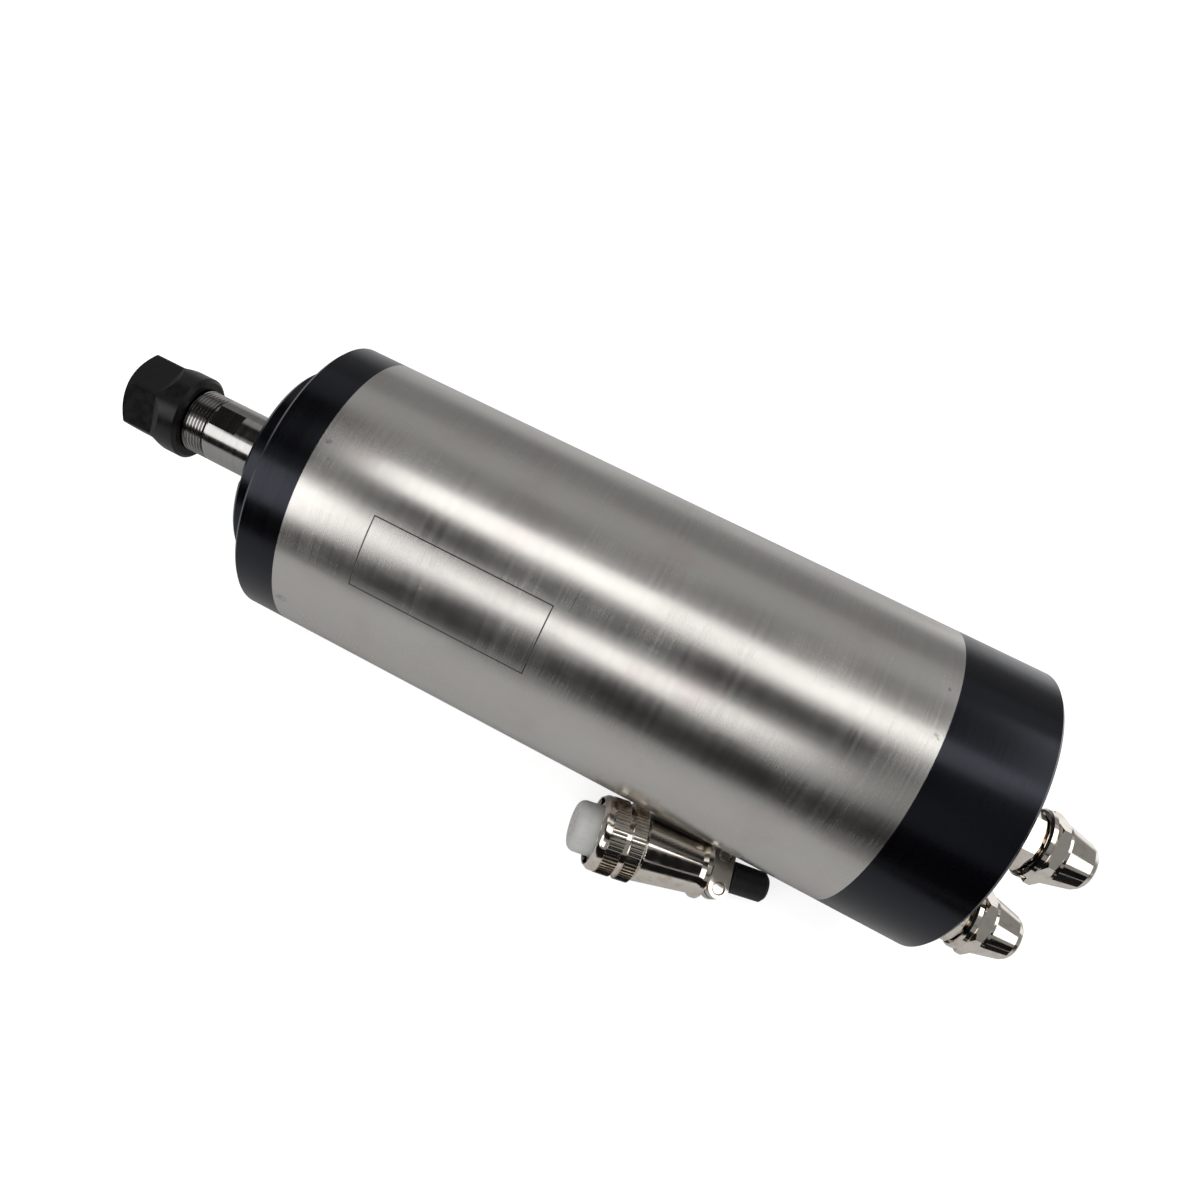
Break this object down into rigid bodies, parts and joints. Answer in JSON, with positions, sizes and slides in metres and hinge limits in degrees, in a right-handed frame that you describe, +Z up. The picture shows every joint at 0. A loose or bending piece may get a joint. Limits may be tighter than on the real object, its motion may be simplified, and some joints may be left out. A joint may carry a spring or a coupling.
{
  "type": "motor spindle",
  "caption": "Water-cooled cylindrical motor spindle with a collet nose, two hose fittings and a panel socket on the rear cap, and its loose round cable plug.",
  "frame": {"origin": "on the spindle axis, half way along the steel tube", "axes": "-X along the spindle axis towards the tool, +Z up from the surface it lies on, -Y to the side where the loose plug lies"},
  "size_m": [0.2789, 0.0958, 0.08],
  "materials": {
    "tube_steel": "fine circumferential brushing",
    "cap_black": "satin black anodised",
    "shaft_steel": "ground and polished",
    "nut_black": "black oxide",
    "collet_steel": "ground",
    "nickel": "bright nickel plate",
    "screw_black": "black oxide",
    "rubber_black": "moulded",
    "cap_plastic": "translucent milky plastic",
    "insulator_plastic": "moulded",
    "contact_brass": "plated pins",
    "bearing_steel": "ground",
    "cage_brass": "machined",
    "machined_aluminium": "turned",
    "lamination_iron": "stamped stack",
    "copper_winding": "varnished copper"
  },
  "bodies": {
    "housing": {"outer_tube": "tube_steel", "front_cap": "cap_black", "front_cover": "cap_black", "cover_screws": "screw_black", "rear_bearing_seat": "machined_aluminium", "rear_cap": "cap_black", "rear_cap_screws": "screw_black", "housing_o_rings": "rubber_black", "water_jacket": "machined_aluminium", "jacket_gasket": "rubber_black", "boss_o_rings": "rubber_black", "stator_core": "lamination_iron", "stator_windings": "copper_winding", "preload_spring": "screw_black", "front_bearing_outer_rings": "bearing_steel", "rear_bearing_outer_ring": "bearing_steel", "water_fitting_1": "nickel", "water_fitting_2": "nickel", "fitting_washers": "rubber_black", "socket_shell": "nickel", "socket_insulator": "insulator_plastic", "socket_pins": "contact_brass", "socket_nut": "nickel"},
    "rotor": {"spindle_shaft": "shaft_steel", "rotor_core": "lamination_iron", "rotor_cage": "machined_aluminium", "bearing_locknut": "shaft_steel", "rear_circlip": "screw_black", "front_bearing_inner_rings": "bearing_steel", "rear_bearing_inner_ring": "bearing_steel"},
    "front_bearing_rollers": {"front_bearing_balls": "bearing_steel", "front_bearing_cages": "cage_brass"},
    "rear_bearing_rollers": {"rear_bearing_balls": "bearing_steel", "rear_bearing_cage": "cage_brass"},
    "collet_body": {"collet": "collet_steel"},
    "nut_body": {"collet_nut": "nut_black"},
    "ferrule_1": {"fitting_ferrule_1": "contact_brass"},
    "fitting_nut_body_1": {"fitting_nut_1": "nickel"},
    "ferrule_2": {"fitting_ferrule_2": "contact_brass"},
    "fitting_nut_body_2": {"fitting_nut_2": "nickel"},
    "plug_body": {"plug_shell": "nickel", "plug_cable_clamp": "nickel", "plug_clamp_screws": "nickel", "cable_boot": "rubber_black", "plug_insert": "insulator_plastic", "plug_contacts": "contact_brass"},
    "plug_ring_body": {"plug_coupling_ring": "nickel"},
    "dust_cap_body": {"plug_dust_cap": "cap_plastic"}
  },
  "joints": [
    {"name": "shaft_spin", "type": "hinge", "parent": "housing", "child": "rotor", "pos_m": [0, 0, 0], "axis": [-1, 0, 0], "continuous": true},
    {"name": "front_cage_spin", "type": "hinge", "parent": "housing", "child": "front_bearing_rollers", "pos_m": [0, 0, 0], "axis": [-1, 0, 0], "continuous": true},
    {"name": "rear_cage_spin", "type": "hinge", "parent": "housing", "child": "rear_bearing_rollers", "pos_m": [0, 0, 0], "axis": [-1, 0, 0], "continuous": true},
    {"name": "collet_draw", "type": "slide", "parent": "rotor", "child": "collet_body", "axis": [-1, 0, 0], "range_m": [0, 0.003]},
    {"name": "nut_turn", "type": "hinge", "parent": "collet_body", "child": "nut_body", "pos_m": [-0.1532, 0, 0], "axis": [-1, 0, 0], "range_deg": [0, 1080]},
    {"name": "ferrule_slide_1", "type": "slide", "parent": "housing", "child": "ferrule_1", "axis": [1, 0, 0], "range_m": [0, 0.003]},
    {"name": "fitting_nut_turn_1", "type": "hinge", "parent": "ferrule_1", "child": "fitting_nut_body_1", "pos_m": [0.1065, -0.01358, 0.02449], "axis": [1, 0, 0], "range_deg": [0, 1080]},
    {"name": "ferrule_slide_2", "type": "slide", "parent": "housing", "child": "ferrule_2", "axis": [1, 0, 0], "range_m": [0, 0.003]},
    {"name": "fitting_nut_turn_2", "type": "hinge", "parent": "ferrule_2", "child": "fitting_nut_body_2", "pos_m": [0.1065, -0.02798, 0.00098], "axis": [1, 0, 0], "range_deg": [0, 1080]},
    {"name": "plug_slide", "type": "slide", "parent": "housing", "child": "plug_body", "axis": [0, -1, 0], "range_m": [0, 0.06]},
    {"name": "plug_ring_turn", "type": "hinge", "parent": "plug_body", "child": "plug_ring_body", "pos_m": [0.0296, -0.0442, -0.02833], "axis": [0.9747, 0.2001, -0.0993], "continuous": true},
    {"name": "dust_cap_pull", "type": "slide", "parent": "plug_body", "child": "dust_cap_body", "axis": [-0.9747, -0.2001, 0.0993], "range_m": [0, 0.012]}
  ],
  "couplings": [
    {"joint": "front_cage_spin", "follows": "shaft_spin", "ratio": 0.41181},
    {"joint": "rear_cage_spin", "follows": "shaft_spin", "ratio": 0.39872},
    {"joint": "collet_draw", "follows": "nut_turn", "m_per_rad": 0.00015915},
    {"joint": "ferrule_slide_1", "follows": "fitting_nut_turn_1", "m_per_rad": 0.00015915},
    {"joint": "ferrule_slide_2", "follows": "fitting_nut_turn_2", "m_per_rad": 0.00015915}
  ]
}
